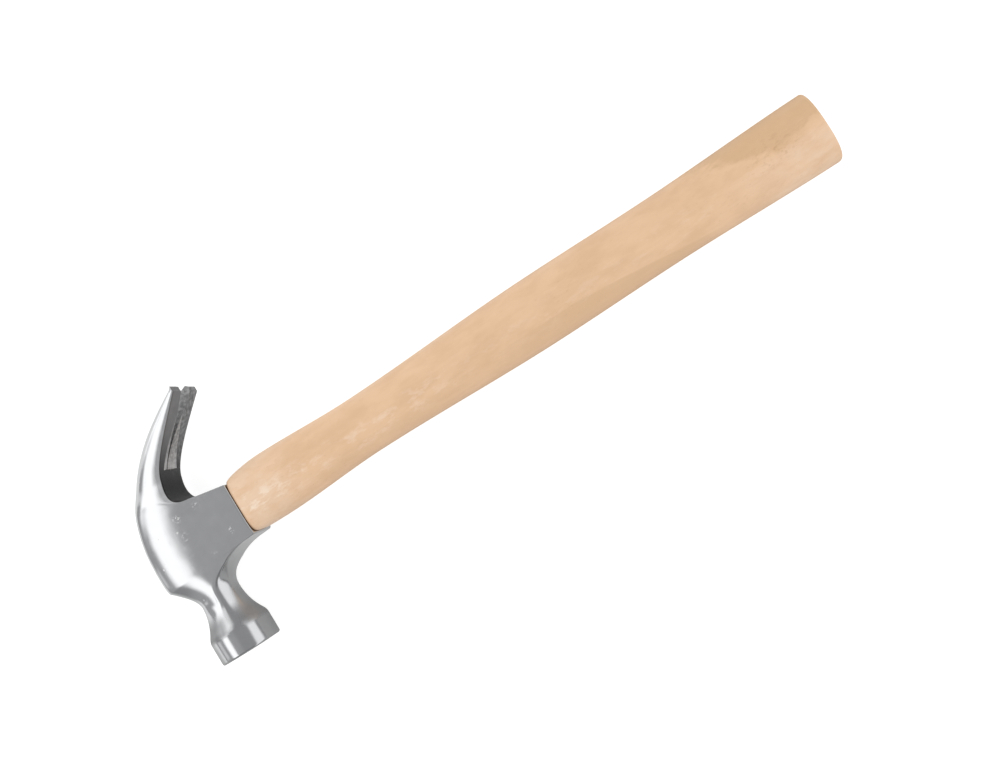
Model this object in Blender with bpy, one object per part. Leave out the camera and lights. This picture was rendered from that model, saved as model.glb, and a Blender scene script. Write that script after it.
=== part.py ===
"""Curved claw hammer: a forged steel head wedged onto a wooden handle, lying on its side.

Metres, +Z up. +X runs along the handle from the head to the butt, and +Y from the striking face to the
claw tips. Everything is modelled about the point where the axis of the striking face crosses the axis of
the handle, and the finished hammer is then moved so that the origin is under the middle of its box.
"""
import math

import bmesh
import bpy
from mathutils import Vector

MM = 0.001

# Whole hammer
OVERALL_LENGTH = 330.0 * MM
FIT_GAP = 0.3 * MM

# Head: striking face, poll and neck
FACE_REACH = 54.2 * MM
POLL_DIAMETER = 27.2 * MM
POLL_LENGTH = 11.5 * MM
FACE_CHAMFER = 0.9 * MM
FLARE_LENGTH = 14.5 * MM
FLARE_POWER = 1.9
NECK_WIDTH = 17.2 * MM
NECK_ROUNDNESS = 0.4
NECK_BACK_LONG = 1.4
NECK_BACK_DEEP = 0.62
NECK_BACK_POWER = 1.5
FACET_END = 0.72
FACET_FADE = 2.5

# Head: eye block
HEAD_TOP = 17.0 * MM
RIM_DROP = 31.0 * MM
CHEEK_WIDTH = 22.6 * MM
TOP_FRONT = 15.8 * MM
RIM_FRONT = 14.2 * MM
RIM_REAR = 10.0 * MM
CHEEK_EASE = 22.0 * MM
CHEEK_ROUND_LONG = 22.0 * MM
CHEEK_ROUND_DEEP = 4.6 * MM
FRONT_ROUND_LONG = 2.0 * MM
FRONT_ROUND_DEEP = 1.2 * MM
RIM_EDGE = 0.4 * MM
FILLET_POWER = 2.4
BACK_RISE_POWER = 1.6

# Head: eye, an oval hole that is narrowest between its two mouths
EYE_MIDDLE = -2.2 * MM
EYE_WAIST_SHARE = 0.55
EYE_TOP_LENGTH = 21.0 * MM
EYE_TOP_WIDTH = 12.8 * MM
EYE_WAIST_LENGTH = 17.0 * MM
EYE_WAIST_WIDTH = 11.8 * MM
EYE_RIM_LENGTH = 17.8 * MM
EYE_RIM_WIDTH = 12.8 * MM
EYE_OVAL = 2.5

# Head: claw
CLAW_TIP_REACH = 55.4 * MM
CLAW_TIP_FORWARD = 34.9 * MM
CLAW_TIP_WIDTH = 24.9 * MM
CLAW_TIP_THICKNESS = 3.1 * MM
CLAW_WAIST_WIDTH = 20.6 * MM
CLAW_TIP_LEAN = math.radians(43.0)
CLAW_BACK_LEAN = math.radians(22.5)
BACK_BOW = 0.7 * MM
BACK_TOP_PULL = 0.48
BACK_TIP_PULL = 0.61
CROOK_HEIGHT = 13.0 * MM
CROOK_SET_BACK = 3.4 * MM
ROOT_HEIGHT = 8.1 * MM
ROOT_SET_BACK = 15.6 * MM
CROOK_PULL = Vector((-5.5, 0.8)) * MM
ROOT_CROOK_PULL = Vector((-2.4, -7.5)) * MM
ROOT_CLAW_PULL = Vector((1.6, 7.5)) * MM
TIP_PULL = 17.0 * MM
CLAW_EDGE = 0.4 * MM
CLAW_ROUND_SHARE = 0.86
CLAW_ROUND_DEEP = 6.5 * MM
TIP_BEVEL_LENGTH = 1.5 * MM
TIP_BEVEL_THICKNESS = 1.6 * MM
TROUGH_ROOT_WIDTH = 12.6 * MM
TROUGH_TIP_WIDTH = 1.6 * MM
TROUGH_SLOPE = math.radians(14.0)
NOTCH_DEPTH = 36.0 * MM
NOTCH_MOUTH = 10.0 * MM
NOTCH_ROOT = 0.6 * MM
NOTCH_FLARE = 1.8
NOTCH_LEAN = math.radians(48.65)

# Handle: height along Y and thickness along Z at each place along X
BULGE_AT = 46.0 * MM
BULGE_HEIGHT = 28.4 * MM
BULGE_THICKNESS = 22.8 * MM
WAIST_AT = 92.0 * MM
WAIST_HEIGHT = 25.2 * MM
WAIST_THICKNESS = 20.6 * MM
SWELL_AT = 182.0 * MM
SWELL_HEIGHT = 29.4 * MM
SWELL_THICKNESS = 23.6 * MM
SMALL_AT = 238.0 * MM
SMALL_HEIGHT = 28.5 * MM
SMALL_THICKNESS = 23.0 * MM
BUTT_HEIGHT = 31.0 * MM
BUTT_THICKNESS = 25.0 * MM
BUTT_ROUND = 1.3 * MM
GRIP_OVAL = 2.4
SHOULDER_REAR = 11.0 * MM
SHOULDER_FRONT = 13.4 * MM
SHOULDER_INSET = 0.4 * MM
SHOULDER_OVAL = 5.0
SHOULDER_POWER = 1.4
TENON_RECESS = 0.8 * MM

# Wedges
WOOD_WEDGE_DEPTH = 27.0 * MM
WOOD_WEDGE_TOP = 3.6 * MM
WOOD_WEDGE_TIP = 1.0 * MM
STEEL_WEDGE_DEPTH = 15.0 * MM
STEEL_WEDGE_TOP = 2.4 * MM
STEEL_WEDGE_TIP = 0.6 * MM
STEEL_WEDGE_WIDTH = 8.8 * MM
STEEL_WEDGE_SPREAD = 9.0 * MM

# How finely curves are cut into flats
FLAT_STEPS = 2
CORNER_STEPS = 4
OVAL_STEPS = 32
GRIP_STEPS = 10

ROUND = 2.0
OCTAGON = 1.12


def mix(a, b, t):
    return a + (b - a) * t


def ease(t):
    return t * t * (3.0 - 2.0 * t)


def bezier(points, t):
    """Point at t on a cubic curve with four control points."""
    a, b, c, d = points
    s = 1.0 - t
    return a * s ** 3 + b * (3.0 * s * s * t) + c * (3.0 * s * t * t) + d * t ** 3


def share_at(points, target, distance):
    """Where a cubic curve that ends at a target comes within a distance of it."""
    low = 0.0
    high = 1.0
    for _ in range(40):
        middle = 0.5 * (low + high)
        if (bezier(points, middle) - target).length > distance:
            low = middle
        else:
            high = middle
    return high


def corner(size_along, size_across, power=ROUND):
    """A corner of a section: its size both ways and its roundness, from a flat chamfer (1) to an arc (2)."""
    return Vector((size_along, size_across, power))


def section(length, half, belly, back, roundness=0.0, trough=0.0):
    """Outline of the head at one station, as pairs: distance from its back, and height from mid-plane.

    A trough wider than nothing makes the belly a shallow V of that half width.
    """
    flat = half - belly.y
    points = [(length - trough * math.tan(TROUGH_SLOPE), 0.0)]
    points.append((length, trough if trough > 0.0 else 0.5 * flat))
    for i in range(CORNER_STEPS + 1):
        turn = 0.5 * math.pi * i / CORNER_STEPS
        along = max(math.cos(turn), 0.0) ** (2.0 / belly.z)
        across = math.sin(turn) ** (2.0 / belly.z)
        points.append((length - belly.x * (1.0 - along), flat + belly.y * across))
    for i in range(1, 2 * FLAT_STEPS):
        points.append((mix(length - belly.x, back.x, i / (2 * FLAT_STEPS)), half))
    flat = half - back.y
    for i in range(CORNER_STEPS, -1, -1):
        turn = 0.5 * math.pi * i / CORNER_STEPS
        along = max(math.cos(turn), 0.0) ** (2.0 / back.z)
        across = math.sin(turn) ** (2.0 / back.z)
        points.append((back.x * (1.0 - along), flat + back.y * across))
    for i in range(1, FLAT_STEPS + 1):
        points.append((0.0, flat * (1.0 - i / FLAT_STEPS)))
    last = len(points) - 1
    for i in range(last + 1):
        turn = math.pi * i / last
        p, z = points[i]
        points[i] = (
            mix(p, 0.5 * length * (1.0 + math.cos(turn)), roundness),
            mix(z, half * math.sin(turn), roundness),
        )
    return points + [(p, -z) for p, z in points[last - 1:0:-1]]


def ring(back_point, belly_point, half, belly, back, roundness=0.0, trough=0.0):
    """A section stood up in the plane through two points of the side view."""
    span = belly_point - back_point
    step = span.normalized()
    outline = section(span.length, half, belly, back, roundness, trough)
    return [Vector((back_point.x + step.x * p, back_point.y + step.y * p, z)) for p, z in outline]


def oval(x, middle, half_y, half_z, power):
    """An upright oval across the handle, as a ring of points."""
    points = []
    for i in range(OVAL_STEPS):
        turn = 2.0 * math.pi * i / OVAL_STEPS
        c = math.cos(turn)
        s = math.sin(turn)
        y = middle + half_y * math.copysign(abs(c) ** (2.0 / power), c)
        z = half_z * math.copysign(abs(s) ** (2.0 / power), s)
        points.append(Vector((x, y, z)))
    return points


def material(name, colour, metallic, roughness):
    made = bpy.data.materials.new(name)
    made.use_nodes = True
    shader = made.node_tree.nodes["Principled BSDF"]
    shader.inputs["Base Color"].default_value = (*colour, 1.0)
    shader.inputs["Metallic"].default_value = metallic
    shader.inputs["Roughness"].default_value = roughness
    return made


def loft(name, rings, coat, parent, smooth_angle=math.radians(32.0)):
    """A closed body through rings of points, with flat ends."""
    shape = bmesh.new()
    loops = [[shape.verts.new(point) for point in points] for points in rings]
    for first, second in zip(loops, loops[1:]):
        count = len(first)
        for i in range(count):
            j = (i + 1) % count
            shape.faces.new((first[i], first[j], second[j], second[i]))
    shape.faces.new(loops[0])
    shape.faces.new(loops[-1])
    bmesh.ops.recalc_face_normals(shape, faces=shape.faces)
    mesh = bpy.data.meshes.new(name)
    shape.to_mesh(mesh)
    shape.free()
    mesh.shade_smooth()
    mesh.set_sharp_from_angle(angle=smooth_angle)
    if coat is not None:
        mesh.materials.append(coat)
    body = bpy.data.objects.new(name, mesh)
    body.parent = parent
    bpy.context.scene.collection.objects.link(body)
    return body


def cut(body, cutter):
    """Take the cutter's shape out of the body."""
    cutter.hide_render = True
    cutter.display_type = "WIRE"
    step = body.modifiers.new(cutter.name, "BOOLEAN")
    step.operation = "DIFFERENCE"
    step.solver = "EXACT"
    step.object = cutter


def tapered_block(x, half_y, half_z):
    """A flat ring of four corners across the handle."""
    return [
        Vector((x, EYE_MIDDLE - half_y, -half_z)),
        Vector((x, EYE_MIDDLE + half_y, -half_z)),
        Vector((x, EYE_MIDDLE + half_y, half_z)),
        Vector((x, EYE_MIDDLE - half_y, half_z)),
    ]


def head_rings():
    """Stations of the head from the striking face to the claw tip."""
    rings = []
    poll = 0.5 * POLL_DIAMETER
    neck = 0.5 * NECK_WIDTH
    cheek = 0.5 * CHEEK_WIDTH

    def facet_corner(radius):
        size = radius * (2.0 - math.sqrt(2.0))
        return corner(size, size, OCTAGON)

    def leaning_corner(radius):
        return corner(radius * NECK_BACK_LONG, radius * NECK_BACK_DEEP, NECK_BACK_POWER)

    def round_station(y, radius, roundness, lean=0.0):
        facet = facet_corner(radius)
        back = facet.lerp(leaning_corner(radius), lean)
        rings.append(ring(Vector((-radius, y)), Vector((radius, y)), radius, facet, back, roundness))

    round_station(-FACE_REACH, poll - FACE_CHAMFER, 1.0)
    round_station(-FACE_REACH + FACE_CHAMFER, poll, 1.0)
    shoulder_y = -FACE_REACH + POLL_LENGTH
    round_station(shoulder_y, poll, 1.0)
    flare_steps = 7
    for i in range(1, flare_steps + 1):
        t = i / flare_steps
        radius = mix(neck, poll, (1.0 - t) ** FLARE_POWER)
        round_station(shoulder_y + FLARE_LENGTH * t, radius, mix(1.0, NECK_ROUNDNESS, ease(t)), ease(t))

    neck_y = shoulder_y + FLARE_LENGTH
    neck_facet = facet_corner(neck)
    neck_back = leaning_corner(neck)
    rim_corner = corner(RIM_EDGE, RIM_EDGE)
    front_corner = corner(FRONT_ROUND_LONG, FRONT_ROUND_DEEP)
    back_corner = corner(CHEEK_ROUND_LONG, CHEEK_ROUND_DEEP)

    def swelling(back_point, belly_point):
        """How far a station has grown from the neck's thickness and corners to the block's."""
        middle = 0.5 * (back_point.y + belly_point.y)
        return ease(min(max((middle - neck_y) / CHEEK_EASE, 0.0), 1.0))

    root_steps = 8
    for i in range(1, root_steps + 1):
        turn = 0.5 * math.pi * i / root_steps
        rise = math.sin(turn)
        belly_point = Vector((
            mix(neck, RIM_DROP, 1.0 - max(math.cos(turn), 0.0) ** (2.0 / FILLET_POWER)),
            mix(neck_y, -RIM_FRONT, rise ** (2.0 / FILLET_POWER)),
        ))
        back_point = Vector((-mix(neck, HEAD_TOP, rise ** BACK_RISE_POWER), mix(neck_y, -TOP_FRONT, rise)))
        blend = swelling(back_point, belly_point)
        sharpened = min(rise / FACET_END, 1.0)
        rings.append(ring(
            back_point,
            belly_point,
            mix(neck, cheek, blend),
            neck_facet.lerp(front_corner, sharpened ** FACET_FADE),
            neck_back.lerp(back_corner, blend),
            NECK_ROUNDNESS * (1.0 - ease(sharpened)),
        ))

    tip = Vector((CLAW_TIP_FORWARD, CLAW_TIP_REACH))
    tip_way = Vector((math.cos(CLAW_TIP_LEAN), math.sin(CLAW_TIP_LEAN)))
    tip_back = tip + Vector((-tip_way.y, tip_way.x)) * CLAW_TIP_THICKNESS
    top_front = Vector((-HEAD_TOP, -TOP_FRONT))
    back_way = Vector((math.cos(CLAW_BACK_LEAN), math.sin(CLAW_BACK_LEAN)))
    back_reach = CLAW_TIP_REACH + TOP_FRONT
    back_line = [
        top_front,
        top_front + Vector((-BACK_BOW, BACK_TOP_PULL * back_reach)),
        tip_back - back_way * (BACK_TIP_PULL * back_reach),
        tip_back,
    ]
    rim_rear = Vector((RIM_DROP, RIM_REAR))
    crook = Vector((CROOK_HEIGHT, RIM_REAR + CROOK_SET_BACK))
    root = Vector((ROOT_HEIGHT, RIM_REAR + ROOT_SET_BACK))
    crook_line = [crook, crook + CROOK_PULL, root + ROOT_CROOK_PULL, root]
    claw_line = [root, root + ROOT_CLAW_PULL, tip - tip_way * TIP_PULL, tip]

    # Shares of the back line that belong to the rim, the rear of the block, the crook and the claw
    rim_end = 0.27
    rear_end = 0.36
    crook_end = 0.53
    for t in (0.03, 0.08, 0.2, 0.4, 0.7, 1.0):
        depth = t * (RIM_FRONT + RIM_REAR)
        short = max(FRONT_ROUND_DEEP - depth, 0.0)
        inset = FRONT_ROUND_DEEP - math.sqrt(FRONT_ROUND_DEEP ** 2 - short ** 2)
        back_point = bezier(back_line, rim_end * t)
        belly_point = Vector((RIM_DROP, depth - RIM_FRONT))
        blend = swelling(back_point, belly_point)
        rings.append(ring(
            back_point,
            belly_point,
            mix(neck, cheek, blend),
            rim_corner.lerp(front_corner, inset / FRONT_ROUND_DEEP),
            neck_back.lerp(back_corner, blend),
        ))
    rear_steps = 2
    for i in range(1, rear_steps + 1):
        t = i / rear_steps
        back_point = bezier(back_line, mix(rim_end, rear_end, t))
        rings.append(ring(back_point, rim_rear.lerp(crook, t), cheek, rim_corner, back_corner))

    waist = 0.5 * CLAW_WAIST_WIDTH
    claw_edge = corner(CLAW_EDGE, CLAW_EDGE)
    crook_steps = 6
    for i in range(1, crook_steps + 1):
        t = i / crook_steps
        back_point = bezier(back_line, mix(rear_end, crook_end, t))
        belly_point = bezier(crook_line, t)
        thickness = (belly_point - back_point).length
        round_long = min(CHEEK_ROUND_LONG, CLAW_ROUND_SHARE * (thickness - CLAW_EDGE))
        rings.append(ring(
            back_point,
            belly_point,
            mix(cheek, waist, ease(t)),
            rim_corner.lerp(claw_edge, t),
            corner(round_long, mix(CHEEK_ROUND_DEEP, CLAW_ROUND_DEEP, ease(t))),
        ))
    bevel_start = 1.0 - TIP_BEVEL_LENGTH / (3.0 * TIP_PULL)
    trough_start = share_at(claw_line, tip, NOTCH_DEPTH)
    claw_steps = 9
    shares = [0.5 * trough_start, trough_start]
    shares += [mix(trough_start, bevel_start, max(i / claw_steps, 0.012)) for i in range(claw_steps + 1)]
    for t in shares + [1.0]:
        back_point = bezier(back_line, mix(crook_end, 1.0, t))
        belly_point = bezier(claw_line, t)
        left = (belly_point - tip).length / NOTCH_DEPTH
        if t == 1.0:
            belly_point = back_point + (belly_point - back_point).normalized() * TIP_BEVEL_THICKNESS
        thickness = (belly_point - back_point).length
        rings.append(ring(
            back_point,
            belly_point,
            mix(waist, 0.5 * CLAW_TIP_WIDTH, t * t),
            claw_edge,
            corner(CLAW_ROUND_SHARE * (thickness - CLAW_EDGE), CLAW_ROUND_DEEP),
            trough=0.5 * mix(TROUGH_TIP_WIDTH, TROUGH_ROOT_WIDTH, left) if t > trough_start else 0.0,
        ))
    return rings


def notch_rings():
    """The nail notch: a slot that flares towards the claw tip, cut square through the claw."""
    tip = Vector((CLAW_TIP_FORWARD, CLAW_TIP_REACH))
    way = Vector((math.cos(NOTCH_LEAN), math.sin(NOTCH_LEAN)))
    side = Vector((way.y, -way.x))
    start = tip - way * NOTCH_DEPTH
    overrun = 10.0 * MM
    above_belly = 7.0 * MM
    below_belly = 26.0 * MM
    root = 0.5 * NOTCH_ROOT
    flare = []
    flare_steps = 8
    for i in range(1, flare_steps + 1):
        t = i / flare_steps
        flare.append((NOTCH_DEPTH * t, mix(root, 0.5 * NOTCH_MOUTH, t ** NOTCH_FLARE)))
    flare.append((NOTCH_DEPTH + overrun, 0.5 * NOTCH_MOUTH))
    outline = [(along, -z) for along, z in flare]
    outline += flare[::-1]
    round_steps = 6
    for i in range(round_steps + 1):
        turn = math.pi * (0.5 + i / round_steps)
        outline.append((root * math.cos(turn), root * math.sin(turn)))
    rings = []
    for offset in (above_belly, -below_belly):
        points = []
        for along, z in outline:
            spot = start + way * along + side * offset
            points.append(Vector((spot.x, spot.y, z)))
        rings.append(points)
    return rings


def eye_sizes(x, gap):
    """Half length and half width of the eye at one depth, less a gap."""
    waist_at = mix(-HEAD_TOP, RIM_DROP, EYE_WAIST_SHARE)
    if x < waist_at:
        t = (waist_at - x) / (waist_at + HEAD_TOP)
        length = mix(EYE_WAIST_LENGTH, EYE_TOP_LENGTH, t)
        width = mix(EYE_WAIST_WIDTH, EYE_TOP_WIDTH, t)
    else:
        t = (x - waist_at) / (RIM_DROP - waist_at)
        length = mix(EYE_WAIST_LENGTH, EYE_RIM_LENGTH, t)
        width = mix(EYE_WAIST_WIDTH, EYE_RIM_WIDTH, t)
    return 0.5 * length - gap, 0.5 * width - gap


def eye_rings(start, end, gap):
    waist_at = mix(-HEAD_TOP, RIM_DROP, EYE_WAIST_SHARE)
    rings = []
    for x in (start, waist_at, end):
        half_y, half_z = eye_sizes(x, gap)
        rings.append(oval(x, EYE_MIDDLE, half_y, half_z, EYE_OVAL))
    return rings


def handle_rings():
    """Stations of the handle from the top of its tenon to the butt."""
    top = TENON_RECESS - HEAD_TOP
    shoulder = RIM_DROP + FIT_GAP
    end = OVERALL_LENGTH - HEAD_TOP
    rings = eye_rings(top, shoulder, FIT_GAP)
    rim_middle = 0.5 * (SHOULDER_REAR - SHOULDER_FRONT)
    rim_height = SHOULDER_REAR + SHOULDER_FRONT
    rim_thickness = CHEEK_WIDTH - 2.0 * SHOULDER_INSET
    ease_in_steps = 4
    for i in range(ease_in_steps + 1):
        turn = 0.5 * math.pi * i / ease_in_steps
        x = mix(shoulder, BULGE_AT, 1.0 - math.cos(turn))
        t = math.sin(turn) ** SHOULDER_POWER
        rings.append(oval(
            x,
            mix(rim_middle, 0.0, t),
            0.5 * mix(rim_height, BULGE_HEIGHT, t),
            0.5 * mix(rim_thickness, BULGE_THICKNESS, t),
            mix(SHOULDER_OVAL, GRIP_OVAL, ease(t)),
        ))
    stations = [
        (BULGE_AT, BULGE_HEIGHT, BULGE_THICKNESS),
        (WAIST_AT, WAIST_HEIGHT, WAIST_THICKNESS),
        (SWELL_AT, SWELL_HEIGHT, SWELL_THICKNESS),
        (SMALL_AT, SMALL_HEIGHT, SMALL_THICKNESS),
        (end - BUTT_ROUND, BUTT_HEIGHT, BUTT_THICKNESS),
    ]
    for first, second in zip(stations, stations[1:]):
        for i in range(1, GRIP_STEPS + 1):
            t = i / GRIP_STEPS
            x = mix(first[0], second[0], t)
            height = mix(first[1], second[1], ease(t))
            thickness = mix(first[2], second[2], ease(t))
            rings.append(oval(x, 0.0, 0.5 * height, 0.5 * thickness, GRIP_OVAL))
    round_steps = 3
    for i in range(1, round_steps + 1):
        turn = 0.5 * math.pi * i / round_steps
        inset = BUTT_ROUND * (1.0 - math.cos(turn))
        rings.append(oval(
            end - BUTT_ROUND * (1.0 - math.sin(turn)),
            0.0,
            0.5 * BUTT_HEIGHT - inset,
            0.5 * BUTT_THICKNESS - inset,
            GRIP_OVAL,
        ))
    return rings


def steel_wedge_rings(offset, gap, lift):
    top = TENON_RECESS - HEAD_TOP
    half_width = 0.5 * STEEL_WEDGE_WIDTH + gap
    rings = [
        tapered_block(top - lift, 0.5 * STEEL_WEDGE_TOP + gap, half_width),
        tapered_block(top + STEEL_WEDGE_DEPTH + gap, 0.5 * STEEL_WEDGE_TIP + gap, half_width),
    ]
    for points in rings:
        for point in points:
            point.y += offset
    return rings


def main():
    for item in list(bpy.data.objects):
        bpy.data.objects.remove(item)

    steel = material("polished_steel", (0.62, 0.63, 0.64), 1.0, 0.22)
    timber = material("pale_hardwood", (0.76, 0.52, 0.32), 0.0, 0.42)
    wedge_timber = material("wedge_hardwood", (0.58, 0.36, 0.19), 0.0, 0.55)
    wedge_steel = material("plain_steel", (0.42, 0.42, 0.43), 1.0, 0.42)

    hammer = bpy.data.objects.new("hammer", None)
    bpy.context.scene.collection.objects.link(hammer)

    head = loft("hammer_head", head_rings(), steel, hammer)
    reach = 6.0 * MM
    eye_cutter = loft("eye_cutter", eye_rings(-HEAD_TOP - reach, RIM_DROP + reach, 0.0), None, hammer)
    notch_cutter = loft("notch_cutter", notch_rings(), None, hammer)
    cut(head, eye_cutter)
    cut(head, notch_cutter)

    handle = loft("handle", handle_rings(), timber, hammer)
    top = TENON_RECESS - HEAD_TOP
    wedge_length = 0.5 * EYE_WAIST_LENGTH - 2.0 * FIT_GAP
    wedge_end = top + WOOD_WEDGE_DEPTH
    wedge = loft("wooden_wedge", [
        tapered_block(top, wedge_length, 0.5 * WOOD_WEDGE_TOP),
        tapered_block(wedge_end, wedge_length, 0.5 * WOOD_WEDGE_TIP),
    ], wedge_timber, hammer)
    kerf_cutter = loft("kerf_cutter", [
        tapered_block(top - reach, EYE_TOP_LENGTH, 0.5 * WOOD_WEDGE_TOP + FIT_GAP),
        tapered_block(top, EYE_TOP_LENGTH, 0.5 * WOOD_WEDGE_TOP + FIT_GAP),
        tapered_block(wedge_end + FIT_GAP, EYE_TOP_LENGTH, 0.5 * WOOD_WEDGE_TIP + FIT_GAP),
    ], None, hammer)
    cut(handle, kerf_cutter)

    for name, side in (("claw", 1.0), ("face", -1.0)):
        offset = side * 0.5 * STEEL_WEDGE_SPREAD
        loft("steel_wedge_" + name + "_side", steel_wedge_rings(offset, 0.0, 0.0), wedge_steel, hammer)
        slot = loft("slot_cutter_" + name, steel_wedge_rings(offset, FIT_GAP, reach), None, hammer)
        cut(handle, slot)
        cut(wedge, slot)

    # The origin goes under the middle of the finished shape
    bpy.context.view_layer.update()
    made = bpy.context.evaluated_depsgraph_get()
    corners = [Vector(point) for body in (head, handle) for point in body.evaluated_get(made).bound_box]
    low = [min(point[axis] for point in corners) for axis in range(3)]
    high = [max(point[axis] for point in corners) for axis in range(3)]
    hammer.location = (-0.5 * (low[0] + high[0]), -0.5 * (low[1] + high[1]), -low[2])


main()
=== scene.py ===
# %% [markdown]
# # A curved claw hammer
# The hammer lies on its side: a polished forged head, a pale wooden handle, and three wedges that spread the
# end of the handle inside the eye of the head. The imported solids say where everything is. This lesson
# repeats their shapes with a much finer surface, gives each piece its finish, and lights the lot.

# %% Load the frame and keep its box
import math

import bmesh
import bpy
from mathutils import Matrix, Vector


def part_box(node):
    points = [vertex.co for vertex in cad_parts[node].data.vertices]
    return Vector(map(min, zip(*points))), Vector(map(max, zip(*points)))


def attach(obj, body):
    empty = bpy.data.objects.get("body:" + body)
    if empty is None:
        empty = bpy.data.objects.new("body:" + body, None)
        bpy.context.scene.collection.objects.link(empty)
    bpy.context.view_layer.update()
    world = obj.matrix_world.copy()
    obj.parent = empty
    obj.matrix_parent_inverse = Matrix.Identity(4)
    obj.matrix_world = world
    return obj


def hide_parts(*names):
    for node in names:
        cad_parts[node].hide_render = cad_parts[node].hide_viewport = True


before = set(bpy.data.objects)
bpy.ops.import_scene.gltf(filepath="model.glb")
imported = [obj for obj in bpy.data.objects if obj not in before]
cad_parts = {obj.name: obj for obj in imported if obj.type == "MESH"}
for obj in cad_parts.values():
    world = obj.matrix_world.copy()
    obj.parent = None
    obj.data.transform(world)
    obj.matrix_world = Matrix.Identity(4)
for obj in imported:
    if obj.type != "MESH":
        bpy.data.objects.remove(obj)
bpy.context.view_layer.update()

print("solids:", sorted(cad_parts))

# %% [markdown]
# ## One place to measure from
# Every size below is counted from the point where the axis of the striking face crosses the axis of the
# handle: X runs down the handle, Y towards the claw tips, Z up. That is how a toolmaker would draw the
# hammer, and the boxes of two solids are enough to find the point again in the frame.

# %% The hammer's own origin
MM = 0.001
OVERALL_LENGTH = 330.0 * MM
HEAD_TOP = 17.0 * MM
FACE_REACH = 54.2 * MM
HANDLE_END = OVERALL_LENGTH - HEAD_TOP

head_low, head_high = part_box("hammer_head")
handle_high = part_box("handle")[1]
ORIGIN = Vector((
    handle_high.x - HANDLE_END,
    head_low.y + FACE_REACH,
    0.5 * (head_low.z + head_high.z),
))
print("origin of the drawing in mm:", [round(1000.0 * part, 2) for part in ORIGIN])

# %% [markdown]
# ## Camera
# The photograph looks down on the hammer from a little to the handle's side, and the picture is turned so
# that the handle climbs to the right. A camera matrix is built straight from three directions: which way is
# right in the picture, which way is up, and which way the lens looks. That is easier to check than angles.
# The focal length and the sideways look are counted in the picture's own pixels.

# %% The camera at the photograph's view
PICTURE_WIDTH = 1000.0
FOCAL_LENGTH = 1100.0
SIDEWAYS = 153.0
SENSOR_WIDTH = 36.0
VIEW_TILT = math.atan2(SIDEWAYS, FOCAL_LENGTH)
PICTURE_TURN = math.radians(32.6)
CAMERA_PLACE = Vector((202.3, -50.84, 449.0)) * MM
ACROSS = Vector((math.cos(PICTURE_TURN), -math.sin(PICTURE_TURN), 0.0))
UP_IN_PICTURE = Vector((math.sin(PICTURE_TURN), math.cos(PICTURE_TURN), 0.0))
DOWN = Vector((0.0, 0.0, -1.0))
look = DOWN * math.cos(VIEW_TILT) - ACROSS * math.sin(VIEW_TILT)
right = ACROSS * math.cos(VIEW_TILT) + DOWN * math.sin(VIEW_TILT)
eye_point = ORIGIN + CAMERA_PLACE

camera_data = bpy.data.cameras.new("photo_camera")
camera_data.lens = SENSOR_WIDTH * FOCAL_LENGTH / PICTURE_WIDTH
camera_data.sensor_width = SENSOR_WIDTH
camera_data.clip_start = 10.0 * MM
camera = bpy.data.objects.new("photo_camera", camera_data)
turn = Matrix((right, UP_IN_PICTURE, -look)).transposed()
camera.matrix_world = Matrix.Translation(eye_point) @ turn.to_4x4()
bpy.context.scene.collection.objects.link(camera)
bpy.context.scene.camera = camera
print("camera height above the floor in mm:", round(1000.0 * eye_point.z, 1))

# %% [markdown]
# ## Writing shaders as sums
# A node tree is hard to read as a list of links. One small class wraps a socket, so that `1 - mask` or
# `grain * 0.3` adds the Math node by itself. Everything that isn't plain arithmetic comes from its `node`
# method: the kind of node, its settings, and what goes into its sockets.

# %% A socket that Python can do sums with
class Wire:
    def __init__(self, tree, socket=None):
        self.tree = tree
        self.socket = socket

    def node(self, kind, settings=None, inputs=None, output=0):
        made = self.tree.nodes.new(kind)
        for name, value in (settings or {}).items():
            setattr(made, name, value)
        for name, value in (inputs or {}).items():
            if isinstance(value, Wire):
                self.tree.links.new(value.socket, made.inputs[name])
            else:
                made.inputs[name].default_value = value
        return Wire(self.tree, made.outputs[output] if made.outputs else None)

    def sum(self, operation, first, second):
        return self.node("ShaderNodeMath", {"operation": operation}, {0: first, 1: second})

    def __add__(self, other):
        return self.sum("ADD", self, other)

    def __radd__(self, other):
        return self.sum("ADD", other, self)

    def __sub__(self, other):
        return self.sum("SUBTRACT", self, other)

    def __rsub__(self, other):
        return self.sum("SUBTRACT", other, self)

    def __mul__(self, other):
        return self.sum("MULTIPLY", self, other)

    def __rmul__(self, other):
        return self.sum("MULTIPLY", other, self)

    def __pow__(self, other):
        return self.sum("POWER", self, other)


# %% Short words for the nodes that every finish needs
def stretch(place, x, y, z):
    return place.node("ShaderNodeVectorMath", {"operation": "MULTIPLY"}, {0: place, 1: (x, y, z)})


def shift(place, x, y, z):
    return place.node("ShaderNodeVectorMath", {"operation": "ADD"}, {0: place, 1: (x, y, z)})


def part_of(place, axis):
    return place.node("ShaderNodeSeparateXYZ", {}, {0: place}, axis)


def noise(place, scale, detail=3.0, roughness=0.5):
    inputs = {"Vector": place, "Scale": scale, "Detail": detail, "Roughness": roughness}
    return place.node("ShaderNodeTexNoise", {"noise_dimensions": "3D"}, inputs)


def spots(place, scale):
    """Distance from scattered points, for pits and flecks."""
    inputs = {"Vector": place, "Scale": scale}
    return place.node("ShaderNodeTexVoronoi", {"feature": "F1"}, inputs, "Distance")


def step(value, low, high):
    """0 below the first value, 1 above the second, and soft between; turned round if the first is larger."""
    if low > high:
        return 1.0 - step(value, high, low)
    inputs = {"Value": value, "From Min": low, "From Max": high}
    return value.node("ShaderNodeMapRange", {"interpolation_type": "SMOOTHSTEP"}, inputs)


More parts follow.
